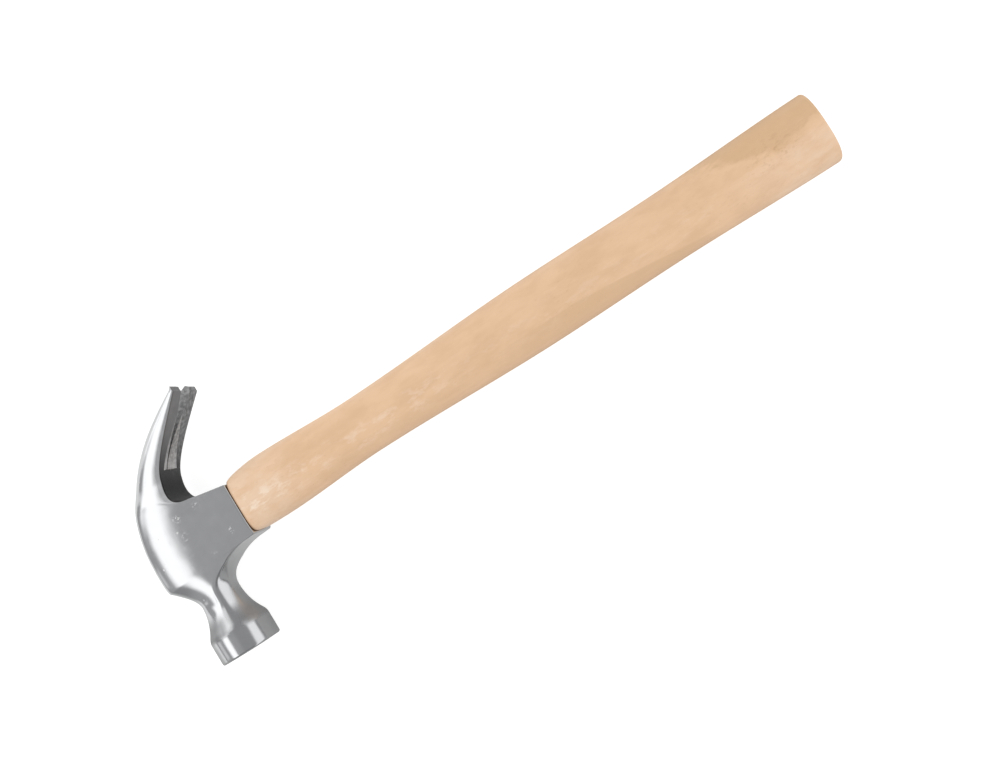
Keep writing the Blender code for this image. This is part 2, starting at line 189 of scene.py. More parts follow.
def tint(factor, first, second):
    """A colour between two colours."""
    return factor.node("ShaderNodeMix", {"data_type": "RGBA"}, {0: factor, 6: first, 7: second}, 2)


def bump(height, depth):
    return height.node("ShaderNodeBump", {}, {"Strength": 1.0, "Distance": depth, "Height": height})


def new_finish(name, fixed):
    """An empty Principled material: its shader, and the piece's own coordinates in metres."""
    made = bpy.data.materials.new(name)
    made.use_nodes = True
    shader = made.node_tree.nodes["Principled BSDF"]
    for socket, value in fixed.items():
        shader.inputs[socket].default_value = value
    place = Wire(made.node_tree).node("ShaderNodeTexCoord", output="Object")
    return made, shader, place


def feed(shader, place, sockets):
    for name, wire in sockets.items():
        place.tree.links.new(wire.socket, shader.inputs[name])


print("shader words ready")

# %% [markdown]
# ## Polished steel
# The pits are also coloured much lighter than the steel round them, which is a painted glint.
# The head is ground and buffed until it mirrors the room, but not perfectly: the surface keeps a slow
# waviness from forging, hair-fine polishing scratches, and a few pits that the wheel didn't reach. The
# waviness and the scratches are small bumps. The pits are the centres of scattered cells, kept only where
# a second noise allows them, so that they come in small groups as on the real cheek, and around four places
# on the cheek where the photograph shows a mark.
#
# The wheel also reaches the hollow flare behind the poll less well. There the steel is duller and streaky,
# with one brighter facet left between the back and the front of the neck. Towards the back the flare is
# darkened further, which is painted shade, and the front of the neck is greyer and rougher. Soft steps along
# X and Y mark these zones.

# %% Scratches and pits of the polished steel
CHEEK_HALF = 11.3 * MM
SCUFFS = ((5.3, 8.5), (5.2, 0.5), (15.7, 8.8), (23.2, -7.7))
SCUFF_REACH = 2.6 * MM
SCUFF_HEART = 0.5 * MM

polished, shader, place = new_finish("polished_steel", {"Metallic": 1.0})
waviness = noise(place, 90.0, 1.0)
haze = noise(place, 160.0, 4.0, 0.6)
hair_along = noise(stretch(place, 90.0, 2600.0, 900.0), 1.0, 2.0)
hair_across = noise(stretch(place, 2200.0, 120.0, 1500.0), 1.0, 2.0)
hair = step(hair_along, 0.60, 0.74) + step(hair_across, 0.62, 0.76)
pit_groups = step(noise(shift(place, 0.31, 0.07, 0.11), 75.0, 2.0), 0.60, 0.70)
pits = step(spots(place, 420.0), 0.30, 0.12) * pit_groups
speckle = step(noise(stretch(place, 700.0, 1100.0, 700.0), 1.0, 3.0, 0.6), 0.52, 0.64) * 0.9
for scuff_x, scuff_y in SCUFFS:
    away = shift(place, -scuff_x * MM, -scuff_y * MM, -CHEEK_HALF)
    distance = away.node("ShaderNodeVectorMath", {"operation": "LENGTH"}, {0: away}, "Value")
    pits = pits + step(distance, SCUFF_REACH, SCUFF_HEART) * speckle
relief = waviness * 0.5 + hair * 0.012 - pits * 0.04
print("scuffs on the cheek:", len(SCUFFS))

# %% Dull flare, and the polished finish itself
BUFFED = (0.60, 0.61, 0.62, 1.0)
BUFFED_BRIGHT = (0.68, 0.685, 0.69, 1.0)
DULL_STEEL = (0.42, 0.425, 0.43, 1.0)
FLARE_BACK_PAINTED_SHADE = (0.22, 0.222, 0.225, 1.0)
NECK_GREY = (0.44, 0.445, 0.45, 1.0)
PIT_PAINTED_GLINT = (0.88, 0.88, 0.88, 1.0)

x = part_of(place, "X")
y = part_of(place, "Y")
on_flare = step(y, -33.0 * MM, -39.0 * MM) * step(y, -45.0 * MM, -42.5 * MM)
bright_facet = step(x, 0.0, 2.5 * MM) * step(x, 9.5 * MM, 7.5 * MM)
dull = on_flare * (1.0 - bright_facet * 0.75)
flare_back = step(x, 1.2 * MM, -1.8 * MM) * dull
neck_front = step(x, 5.5 * MM, 8.5 * MM) * step(y, -24.0 * MM, -31.0 * MM)
neck_front = neck_front * step(y, -45.5 * MM, -43.0 * MM)
streaks = noise(stretch(place, 900.0, 160.0, 900.0), 1.0, 3.0, 0.6)
colour = tint(haze, BUFFED, BUFFED_BRIGHT)
colour = tint(dull * (0.35 + streaks * 0.4), colour, DULL_STEEL)
# painted shade: the back of the flare is darkened further
colour = tint(flare_back * 0.7, colour, FLARE_BACK_PAINTED_SHADE)
colour = tint(neck_front * 0.6, colour, NECK_GREY)
# painted glint: the pits are coloured lighter than the steel round them
colour = tint(pits * 0.65, colour, PIT_PAINTED_GLINT)
rough = 0.10 + haze * 0.07 + hair * 0.03 + pits * 0.25
rough = rough + dull * (0.16 + streaks * 0.16) + neck_front * 0.2
feed(shader, place, {
    "Base Color": colour,
    "Roughness": rough,
    "Normal": bump(relief, 0.25 * MM),
})
print("finish:", polished.name)

# %% [markdown]
# ## The inside of the claw
# Buffing wheels can't reach the inside of the claw, so it stays a dull dark grey from the forge. In the
# crook the colour goes almost to black, which is painted shade in the hollow. The nail trough was ground
# afterwards and is a lighter, mottled grey, lightest towards its root, which is painted light, and the fork
# nearer the floor is mottled too. These are two rougher metals whose grain is a bump as well as a change of
# colour. A soft step along the claw sets the painted shade of the crook, and one in height finds the lower
# fork.

# %% Forged steel for the inside of the claw
CROOK_PAINTED_SHADE = (0.016, 0.016, 0.017, 1.0)
FORGE_GREY = (0.205, 0.205, 0.208, 1.0)
FORGE_PATCH = (0.10, 0.10, 0.10, 1.0)
MOTTLE_LIGHT = (0.36, 0.36, 0.36, 1.0)
MOTTLE_DARK = (0.08, 0.08, 0.08, 1.0)


def along_claw(place):
    """How far a place lies from the block towards the claw tips."""
    return part_of(place, "Y") * 0.75 + part_of(place, "X") * 0.66


forged, shader, place = new_finish("forged_steel", {"Metallic": 1.0})
scale_skin = noise(place, 900.0, 4.0, 0.6)
patches = noise(place, 140.0, 3.0)
mottle = noise(place, 560.0, 3.0, 0.6)
out_of_crook = step(along_claw(place), 20.0 * MM, 50.0 * MM)
lower_fork = step(part_of(place, "Z"), 0.5 * MM, -2.5 * MM) * out_of_crook
# painted shade: near black in the crook, the forged grey further out
colour = tint(out_of_crook, CROOK_PAINTED_SHADE, FORGE_GREY)
colour = tint(patches * 0.35 * out_of_crook, colour, FORGE_PATCH)
colour = tint(lower_fork * step(mottle, 0.46, 0.64) * 0.65, colour, MOTTLE_LIGHT)
colour = tint(lower_fork * step(mottle, 0.48, 0.34) * 0.55, colour, MOTTLE_DARK)
feed(shader, place, {
    "Base Color": colour,
    "Roughness": 0.34 + scale_skin * 0.16 + patches * 0.10,
    "Normal": bump(scale_skin + lower_fork * mottle * 2.0, 0.05 * MM),
})
print("finish:", forged.name)

# %% Ground steel for the trough
GROUND_DARK = (0.28, 0.28, 0.283, 1.0)
GROUND_LIGHT = (0.50, 0.50, 0.50, 1.0)
TROUGH_ROOT_PAINTED_LIGHT = (0.72, 0.72, 0.72, 1.0)

ground, shader, place = new_finish("ground_steel", {"Metallic": 1.0})
grit = noise(place, 1500.0, 3.0, 0.7)
mottle = noise(place, 620.0, 3.0, 0.6)
near_root = step(along_claw(place), 40.0 * MM, 26.0 * MM)
colour = tint(step(mottle, 0.36, 0.66), GROUND_DARK, GROUND_LIGHT)
# painted light: the trough is lighter towards its root
colour = tint(near_root * 0.6, colour, TROUGH_ROOT_PAINTED_LIGHT)
feed(shader, place, {
    "Base Color": colour,
    "Roughness": 0.42 + grit * 0.25,
    "Normal": bump(grit + mottle, 0.12 * MM),
})
print("finish:", ground.name)

# %% [markdown]
# ## Pale hardwood
# The handle is a straight-grained pale wood under a thin satin lacquer. Wood is solid all the way through,
# so its pattern is worked out in three dimensions: slow bands along the length, year rings round a centre
# that lies outside the handle, fibres stretched about forty times longer than wide, and short dark rays. A
# flat pattern wrapped round the handle would smear at both ends, and a solid one has no ends to smear.

# %% Grain of the wood
PITH_Y = 52.0 * MM
PITH_Z = 24.0 * MM
PITH_SWAY = 16.0 * MM
YEAR_WIDTH = 3.4 * MM

timber, shader, place = new_finish("pale_hardwood", {
    "Coat Roughness": 0.22,
    "Specular IOR Level": 0.42,
})
x = part_of(place, "X")
y = part_of(place, "Y")
sway = noise(stretch(place, 14.0, 55.0, 55.0), 1.0, 2.0)
drift = noise(stretch(place, 55.0, 120.0, 120.0), 1.0, 4.0, 0.6)
curl = noise(stretch(place, 150.0, 330.0, 330.0), 1.0, 4.0, 0.65)
fibre = noise(stretch(place, 60.0, 2600.0, 2600.0), 1.0, 3.0, 0.6)
fine_fibre = noise(stretch(place, 160.0, 6000.0, 6000.0), 1.0, 2.0)
from_pith_y = y + (PITH_Y + (sway - 0.5) * PITH_SWAY)
from_pith_z = part_of(place, "Z") + PITH_Z
radius = (from_pith_y * from_pith_y + from_pith_z * from_pith_z) ** 0.5
year = radius.node("ShaderNodeMath", {"operation": "SINE"}, {0: radius * (2.0 * math.pi / YEAR_WIDTH)})
rays = step(spots(stretch(place, 260.0, 1500.0, 900.0), 1.0), 0.20, 0.08)
rays = rays * step(noise(place, 45.0, 2.0), 0.46, 0.60)
print("width of a year ring in mm:", round(YEAR_WIDTH / MM, 1))

# %% [markdown]
# ## What marks this handle
# Near the head the wood is lighter, partly in its own tone and partly as painted sheen, and along the ridge
# it carries small painted highlights where the lacquer would catch the light. The edge at the head is
# darkened, as painted shade of the gap under the rim. Towards the butt a darker heart shows, with a few
# flecks where its two edges meet, and the flank on the striking face's side is darker too. On the sawn ends
# the year rings show as end grain. Each of these is a mask between soft steps, made ragged by the noises of
# the grain so that no edge looks drawn.

# %% Places on the handle
FLANK_Y = -6.2 * MM
FLANK_BEND = 195.0 * MM
KNOT_X = 291.0 * MM
KNOT_Y = 1.2 * MM

ragged = (drift - 0.5) * (6.0 * MM)
flank_line = x.sum("MAXIMUM", x - FLANK_BEND, 0.0) * -0.10 + FLANK_Y
flank = step(y - flank_line + ragged * 0.25, 0.3 * MM, -0.5 * MM)
flank = flank * step(x, 62.0 * MM, 82.0 * MM) * step(x, 268.0 * MM, 244.0 * MM)
from_knot = x - KNOT_X
heart_line = x.sum("MAXIMUM", from_knot * -0.39, from_knot * 0.17)
heart = step(y - heart_line + ragged + (curl - 0.5) * (10.0 * MM), -2.2 * MM, 2.2 * MM)
heart = heart * step(x + (curl - 0.5) * (40.0 * MM), 240.0 * MM, 276.0 * MM) * (0.62 + curl * 0.5)
knot_x = from_knot * 0.6
knot_y = y - KNOT_Y
knot = (knot_x * knot_x + knot_y * knot_y) ** 0.5
flecks = step(noise(stretch(place, 380.0, 800.0, 800.0), 1.0, 3.0, 0.6), 0.54, 0.64)
flecks = flecks * step(knot, 8.5 * MM, 1.5 * MM)
near_head = step(x, 70.0 * MM, 36.0 * MM)
near_butt = step(x, 262.0 * MM, 300.0 * MM) * step(y, 1.0 * MM, -3.0 * MM)
ridge = step(y, -11.0 * MM, -5.0 * MM) * step(y, 4.0 * MM, -2.0 * MM)
# painted highlights: bright flecks along the ridge, standing in for light on the lacquer
painted_glints = step(noise(stretch(place, 130.0, 300.0, 300.0), 1.0, 5.0, 0.65), 0.50, 0.66) * ridge
painted_glints = painted_glints * (0.12 + step(x, 150.0 * MM, 105.0 * MM) * 0.20 + near_head * 0.50)
# painted shade: the wood is darkened at the edge under the rim
collar_shade = step(x, 32.2 * MM, 31.2 * MM)
facing = part_of(place.node("ShaderNodeNewGeometry", output="Normal"), "X")
cut_end = step(facing * facing, 0.45, 0.80)
rings_seen = step(year + (fibre - 0.5) * 1.6, 0.10, 0.85)
print("heart and flecks meet", round(KNOT_X / MM), "mm from the head's axis")

# %% Colours of the wood, laid one over the other
PALE = (0.768, 0.512, 0.320, 1.0)
WARM = (0.705, 0.458, 0.276, 1.0)
FLANK = (0.655, 0.425, 0.248, 1.0)
ORANGE = (0.620, 0.398, 0.222, 1.0)
BLUSH_AND_SHEEN = (0.800, 0.590, 0.425, 1.0)
PAINTED_GLINT = (0.880, 0.720, 0.580, 1.0)
FLECK = (0.460, 0.270, 0.130, 1.0)
RAY = (0.500, 0.290, 0.140, 1.0)
COLLAR_PAINTED_SHADE = (0.300, 0.150, 0.070, 1.0)
END_GRAIN = (0.520, 0.305, 0.155, 1.0)

# lighter near the head and the butt; near the head this is partly painted sheen
paler_and_sheen = (near_head * 1.25 + near_butt) * (1.0 - drift) * (0.5 + step(curl, 0.36, 0.60) * 0.6)
colour = tint(step(drift, 0.34, 0.68), PALE, WARM)
colour = tint(paler_and_sheen, colour, BLUSH_AND_SHEEN)
colour = tint(flank * (0.25 + step(x, 160.0 * MM, 200.0 * MM) * 0.45), colour, FLANK)
colour = tint(heart * 0.9, colour, ORANGE)
colour = tint(flecks * 0.34, colour, FLECK)
colour = tint((year * 0.5 + 0.5) * 0.07, colour, ORANGE)
colour = tint(step(fibre, 0.52, 0.75) * 0.14, colour, ORANGE)
colour = tint(rays * 0.25, colour, RAY)
colour = tint(painted_glints, colour, PAINTED_GLINT)
colour = tint(cut_end * (0.18 + rings_seen * 0.24), colour, END_GRAIN)
colour = tint(collar_shade * 0.75, colour, COLLAR_PAINTED_SHADE)
lacquer = noise(stretch(place, 60.0, 150.0, 150.0), 1.0, 3.0)
feed(shader, place, {
    "Base Color": colour,
    "Roughness": 0.36 + fibre * 0.14 + lacquer * 0.10,
    "Coat Weight": 0.12 + step(lacquer, 0.42, 0.62) * 0.22,
    "Normal": bump(fibre * 0.6 + fine_fibre * 0.25 - rays * 0.5, 0.10 * MM),
})
print("finish:", timber.name)

# %% [markdown]
# ## Wedge finishes
# The wooden wedge is a darker, unlacquered wood, and the two steel wedges are cut from plain strip with the
# dull surface it comes with. They show only at the top of the head, but each still has its own grain.

# %% Wedge wood and wedge steel
WEDGE_PALE = (0.66, 0.43, 0.24, 1.0)
WEDGE_DARK = (0.44, 0.255, 0.125, 1.0)
STRIP_DARK = (0.36, 0.36, 0.37, 1.0)
STRIP_PALE = (0.50, 0.495, 0.49, 1.0)

wedge_wood, shader, place = new_finish("wedge_hardwood", {"Specular IOR Level": 0.3})
wedge_grain = noise(stretch(place, 80.0, 900.0, 2200.0), 1.0, 3.0, 0.6)
feed(shader, place, {
    "Base Color": tint(wedge_grain, WEDGE_PALE, WEDGE_DARK),
    "Roughness": 0.52 + wedge_grain * 0.20,
    "Normal": bump(wedge_grain, 0.12 * MM),
})
strip_steel, shader, place = new_finish("plain_steel", {"Metallic": 1.0})
rolling = noise(stretch(place, 1800.0, 1800.0, 160.0), 1.0, 3.0)
mill_skin = noise(place, 500.0, 4.0)
feed(shader, place, {
    "Base Color": tint(mill_skin, STRIP_DARK, STRIP_PALE),
    "Roughness": 0.34 + rolling * 0.20,
    "Normal": bump(rolling * 0.4 + mill_skin, 0.06 * MM),
})
print("finishes:", wedge_wood.name, strip_steel.name)

# %% [markdown]
# ## Lofting
# Head, handle and wedges are all lofts: a row of outlines, each a ring of points, joined by four-sided
# faces. The alternative is to sculpt subdivided boxes, but a loft follows the drawing exactly and every ring
# can be worked out from sizes. A loft may also say which finish each face gets.

# %% Curves and lofts
def mix(a, b, t):
    return a + (b - a) * t


def clamp(t):
    return min(max(t, 0.0), 1.0)


def ease(t):
    return t * t * (3.0 - 2.0 * t)


def bezier(points, t):
    a, b, c, d = points
    s = 1.0 - t
    return a * s ** 3 + b * (3.0 * s * s * t) + c * (3.0 * s * t * t) + d * t ** 3


def share_at(points, target, distance):
    """Where a cubic curve that ends at a target comes within a distance of it."""
    low = 0.0
    high = 1.0
    for _ in range(40):
        middle = 0.5 * (low + high)
        if (bezier(points, middle) - target).length > distance:
            low = middle
        else:
            high = middle
    return high


def loft(name, rings, finishes, finish_of=None):
    """A closed body through rings of points, placed at the hammer's origin."""
    shape = bmesh.new()
    loops = [[shape.verts.new(point) for point in points] for points in rings]
    for k, (first, second) in enumerate(zip(loops, loops[1:])):
        count = len(first)
        for i in range(count):
            j = (i + 1) % count
            face = shape.faces.new((first[i], first[j], second[j], second[i]))
            if finish_of is not None:
                face.material_index = finish_of(k, i)
    shape.faces.new(loops[0])
    shape.faces.new(loops[-1])
    bmesh.ops.recalc_face_normals(shape, faces=shape.faces)
    mesh = bpy.data.meshes.new(name)
    shape.to_mesh(mesh)
    shape.free()
    for finish in finishes:
        mesh.materials.append(finish)
    body = bpy.data.objects.new(name, mesh)
    body.location = ORIGIN
    bpy.context.scene.collection.objects.link(body)
    return body


def weld(mesh, distance=0.001 * MM):
    """Joins points that a cut left on the same spot, so that no face has a side of no length."""
    shape = bmesh.new()
    shape.from_mesh(mesh)
    bmesh.ops.dissolve_degenerate(shape, dist=distance, edges=shape.edges)
    shape.to_mesh(mesh)
    shape.free()


def cut(body, cutters, crease=math.radians(34.0)):
    """Takes the cutters' shapes out of the body for good, and shades it smooth between sharp edges."""
    for cutter in cutters:
        tool = body.modifiers.new(cutter.name, "BOOLEAN")
        tool.operation = "DIFFERENCE"
        tool.solver = "EXACT"
        tool.object = cutter
    bpy.context.view_layer.update()
    made = bpy.context.evaluated_depsgraph_get()
    mesh = bpy.data.meshes.new_from_object(body.evaluated_get(made))
    body.modifiers.clear()
    old = body.data
    body.data = mesh
    bpy.data.meshes.remove(old)
    mesh.name = body.name
    for cutter in cutters:
        bpy.data.objects.remove(cutter)
    weld(mesh)
    mesh.shade_smooth()
    mesh.set_sharp_from_angle(angle=crease)
    return body


print("loft ready")

# %% [markdown]
# ## Sections of the head
# A slice through the head is a rectangle with worked corners. At the poll the corners swallow everything and
# the slice is a circle, at the neck they are flat chamfers that make an octagon, on the block they are long
# roundings towards the back, and on the claw the inner side is hollowed into a shallow V. One function draws
# them all, so each slice melts into the next.

# %% One outline for every slice
FLAT_STEPS = 4
TROUGH_STEPS = 5
CORNER_STEPS = 12
SIDE_STEPS = 10
ROUND = 2.0
OCTAGON = 1.12
TROUGH_SLOPE = math.radians(14.0)
BELLY_POINTS = TROUGH_STEPS + FLAT_STEPS
DULL_CORNER_STEPS = 9
DULL_POINTS = BELLY_POINTS + DULL_CORNER_STEPS


def corner(size_along, size_across, power=ROUND):
    return Vector((size_along, size_across, power))


def section(length, half, belly, back, roundness=0.0, trough=0.0):
    """Pairs: distance from the back of the head, and height from the mid-plane."""
    flat = half - belly.y
    spread = trough if trough > 0.0 else 0.5 * flat
    depth = trough * math.tan(TROUGH_SLOPE)
    points = []
    for i in range(TROUGH_STEPS):
        share = i / TROUGH_STEPS
        points.append((length - depth * (1.0 - share), spread * share))
    for i in range(FLAT_STEPS):
        points.append((length, mix(spread, flat, i / FLAT_STEPS)))
    for i in range(CORNER_STEPS + 1):
        turn = 0.5 * math.pi * i / CORNER_STEPS
        along = max(math.cos(turn), 0.0) ** (2.0 / belly.z)
        across = math.sin(turn) ** (2.0 / belly.z)
        points.append((length - belly.x * (1.0 - along), flat + belly.y * across))
    for i in range(1, SIDE_STEPS):
        points.append((mix(length - belly.x, back.x, i / SIDE_STEPS), half))
    flat = half - back.y
    for i in range(CORNER_STEPS, -1, -1):
        turn = 0.5 * math.pi * i / CORNER_STEPS
        along = max(math.cos(turn), 0.0) ** (2.0 / back.z)
        across = math.sin(turn) ** (2.0 / back.z)
        points.append((back.x * (1.0 - along), flat + back.y * across))
    for i in range(1, BELLY_POINTS + 1):
        points.append((0.0, flat * (1.0 - i / BELLY_POINTS)))
    last = len(points) - 1
    for i in range(last + 1):
        turn = math.pi * i / last
        p, z = points[i]
        points[i] = (
            mix(p, 0.5 * length * (1.0 + math.cos(turn)), roundness),
            mix(z, half * math.sin(turn), roundness),
        )
    return points + [(p, -z) for p, z in points[last - 1:0:-1]]


def ring(back_point, belly_point, half, belly, back, roundness=0.0, trough=0.0):
    """A slice stood up in the plane through two points of the side view."""
    span = belly_point - back_point
    way = span.normalized()
    outline = section(span.length, half, belly, back, roundness, trough)
    return [Vector((back_point.x + way.x * p, back_point.y + way.y * p, z)) for p, z in outline]


print("points in one slice:", len(section(1.0, 1.0, corner(0.1, 0.1), corner(0.1, 0.1))))

# %% [markdown]
# ## Poll and neck
# The striking face is very slightly domed with a narrow bevel, the poll behind it is a plain cylinder, and
# the flare tapers to an eight-sided neck whose upper faces lean to the back. The break between cylinder and
# flare is eased by averaging the radius over a short stretch: a real edge is never knife sharp, and on this
# one the reflections fade out instead of ending in a line.

# %% Slices from the striking face to the neck
POLL_RADIUS = 13.6 * MM
POLL_LENGTH = 11.5 * MM
FACE_CHAMFER = 0.9 * MM
FACE_DOME = 0.25 * MM
FLARE_LENGTH = 14.5 * MM
FLARE_POWER = 1.9
FLARE_EASE = 1.5 * MM
FLARE_SAMPLES = 12
FLARE_STEPS = 38
FLARE_CROWDING = 1.2
DOME_SHARES = (0.04, 0.3, 0.6, 0.85, 1.0)
CHAMFER_STEPS = 6
NECK_RADIUS = 8.6 * MM
NECK_ROUNDNESS = 0.4
NECK_BACK_LONG = 1.4
NECK_BACK_DEEP = 0.62
NECK_BACK_POWER = 1.5
SHOULDER_Y = POLL_LENGTH - FACE_REACH
NECK_Y = SHOULDER_Y + FLARE_LENGTH


def facet_corner(radius):
    size = radius * (2.0 - math.sqrt(2.0))
    return corner(size, size, OCTAGON)


def leaning_corner(radius):
    return corner(radius * NECK_BACK_LONG, radius * NECK_BACK_DEEP, NECK_BACK_POWER)


def round_slice(y, radius, roundness, lean=0.0):
    facet = facet_corner(radius)
    back = facet.lerp(leaning_corner(radius), lean)
    return ring(Vector((-radius, y)), Vector((radius, y)), radius, facet, back, roundness)


def along_flare(y):
    return clamp((y - SHOULDER_Y) / FLARE_LENGTH)


def poll_radius(y):
    return mix(NECK_RADIUS, POLL_RADIUS, (1.0 - along_flare(y)) ** FLARE_POWER)


def eased_radius(y):
    offsets = [FLARE_EASE * i / FLARE_SAMPLES for i in range(-FLARE_SAMPLES, FLARE_SAMPLES + 1)]
    return sum(poll_radius(y + offset) for offset in offsets) / len(offsets)


def poll_slices():
    slices = []
    flat_radius = POLL_RADIUS - FACE_CHAMFER
    for share in DOME_SHARES:
        slices.append(round_slice(-FACE_REACH + FACE_DOME * share * share, flat_radius * share, 1.0))
    for i in range(1, CHAMFER_STEPS + 1):
        turn = 0.5 * math.pi * i / CHAMFER_STEPS
        y = -FACE_REACH + FACE_DOME + FACE_CHAMFER * (1.0 - math.cos(turn))
        slices.append(round_slice(y, flat_radius + FACE_CHAMFER * math.sin(turn), 1.0))
    start = -FACE_REACH + FACE_DOME + FACE_CHAMFER
    ease_start = SHOULDER_Y - FLARE_EASE
    for share in (0.2, 0.4, 0.6, 0.8):
        slices.append(round_slice(mix(start, ease_start, share), POLL_RADIUS, 1.0))
    for i in range(FLARE_STEPS + 1):
        y = mix(ease_start, NECK_Y, (i / FLARE_STEPS) ** FLARE_CROWDING)
        lean = ease(along_flare(y))
        slices.append(round_slice(y, eased_radius(y), mix(1.0, NECK_ROUNDNESS, lean), lean))
    return slices


print("slices to the neck:", len(poll_slices()))

# %% [markdown]
# ## Block, crook and claw
# Two lines in the side view carry the rest of the head: the back, one long curve from the block to the claw
# tip, and the belly, which drops down the front of the block, runs along the rim round the handle, climbs
# the rear, turns through the crook and follows the inside of the claw. Slices are strung between them.
# Where two stretches meet, at the block's lower corner and at the crook, neighbouring slices are averaged a
# few times towards the back, so that no crease shows in the reflections. The faces also carry a finish:
# forged on the inside of crook and claw, ground in the trough.

# %% Sizes of block and claw
RIM_DROP = 31.0 * MM
TOP_FRONT = 15.8 * MM
RIM_FRONT = 14.2 * MM
RIM_REAR = 10.0 * MM
CHEEK_ROUND = corner(22.0 * MM, 4.6 * MM)
FRONT_EDGE = corner(2.0 * MM, 1.2 * MM)
RIM_EDGE = corner(0.4 * MM, 0.4 * MM)
RIM_CORNER = 0.6 * MM
FILLET_POWER = 2.4
CLAW_TIP = Vector((34.9, 55.4)) * MM
CLAW_TIP_HALF = 12.45 * MM
CLAW_TIP_THICKNESS = 3.1 * MM
CLAW_WAIST_HALF = 10.3 * MM
CLAW_TIP_LEAN = math.radians(43.0)
CLAW_BACK_LEAN = math.radians(22.5)
CLAW_EDGE = corner(0.4 * MM, 0.4 * MM)
CLAW_ROUND_SHARE = 0.86
CLAW_ROUND_DEEP = 6.5 * MM
TIP_BEVEL_LENGTH = 1.5 * MM
TIP_BEVEL_THICKNESS = 1.6 * MM
TROUGH_ROOT_HALF = 6.3 * MM
TROUGH_TIP_HALF = 0.8 * MM
NOTCH_DEPTH = 36.0 * MM
POLISHED, FORGED, GROUND = range(3)

tip_way = Vector((math.cos(CLAW_TIP_LEAN), math.sin(CLAW_TIP_LEAN)))
back_way = Vector((math.cos(CLAW_BACK_LEAN), math.sin(CLAW_BACK_LEAN)))
tip_back = CLAW_TIP + Vector((-tip_way.y, tip_way.x)) * CLAW_TIP_THICKNESS
top_front = Vector((-HEAD_TOP, -TOP_FRONT))
reach_of_back = CLAW_TIP.y + TOP_FRONT
BACK_BOW = 0.7 * MM
BACK_TOP_PULL = 0.48
BACK_TIP_PULL = 0.61
BACK_LINE = [
    top_front,
    top_front + Vector((-BACK_BOW, BACK_TOP_PULL * reach_of_back)),
    tip_back - back_way * (BACK_TIP_PULL * reach_of_back),
    tip_back,
]
CROOK = Vector((13.0 * MM, RIM_REAR + 3.4 * MM))
CROOK_PULL = Vector((-5.5, 0.8)) * MM
CLAW_ROOT = Vector((8.1 * MM, RIM_REAR + 15.6 * MM))
ROOT_CROOK_PULL = Vector((-2.4, -7.5)) * MM
ROOT_CLAW_PULL = Vector((1.6, 7.5)) * MM
TIP_PULL = 17.0 * MM
CROOK_LINE = [CROOK, CROOK + CROOK_PULL, CLAW_ROOT + ROOT_CROOK_PULL, CLAW_ROOT]
CLAW_LINE = [CLAW_ROOT, CLAW_ROOT + ROOT_CLAW_PULL, CLAW_TIP - tip_way * TIP_PULL, CLAW_TIP]
RIM_SHARE = 0.27
REAR_SHARE = 0.36
CROOK_SHARE = 0.53
print("head from face to claw tip in mm:", round((FACE_REACH + tip_back.y) / MM, 1))


# %% Slices of the block
SWELL_LENGTH = 22.0 * MM
FACET_END = 0.72
FACET_FADE = 2.5
BACK_RISE_POWER = 1.6
EASE_SPAN = 0.45
CORNER_REACH = 13
CORNER_EASE_FROM = 0.41
CORNER_ROUNDS = 45
SEAM_REACH = 9
SEAM_EASE_FROM = 0.30
SEAM_ROUNDS = 14
RIM_CORNER_SHARE = 0.012
RIM_CORNER_STEPS = 4


def grown_slice(back, belly, front, roundness=0.0):
    """A slice on its way from the neck's thickness and corners to the block's."""
    middle = 0.5 * (back.y + belly.y)
    blend = ease(clamp((middle - NECK_Y) / SWELL_LENGTH))
    half = mix(NECK_RADIUS, CHEEK_HALF, blend)
    back_corner = leaning_corner(NECK_RADIUS).lerp(CHEEK_ROUND, blend)
    return ring(back, belly, half, front, back_corner, roundness)


def ease_across(slices, middle, reach, start, rounds):
    """The slices with the turn at one of them eased, from a share of the way from belly to back."""
    half = len(slices[0]) // 2
    for _ in range(rounds):
        eased = list(slices)
        for k in range(middle - reach + 1, middle + reach):
            near = 1.0 - ((k - middle) / reach) ** 2
            points = []
            for i, point in enumerate(slices[k]):
                share = 1.0 - abs(i - half) / half
                to_back = ease(clamp((share - start) / EASE_SPAN))
                between = (slices[k - 1][i] + slices[k + 1][i]) * 0.5
                points.append(point.lerp(between, 0.5 * to_back * near))
            eased[k] = points
        slices = eased
    return slices


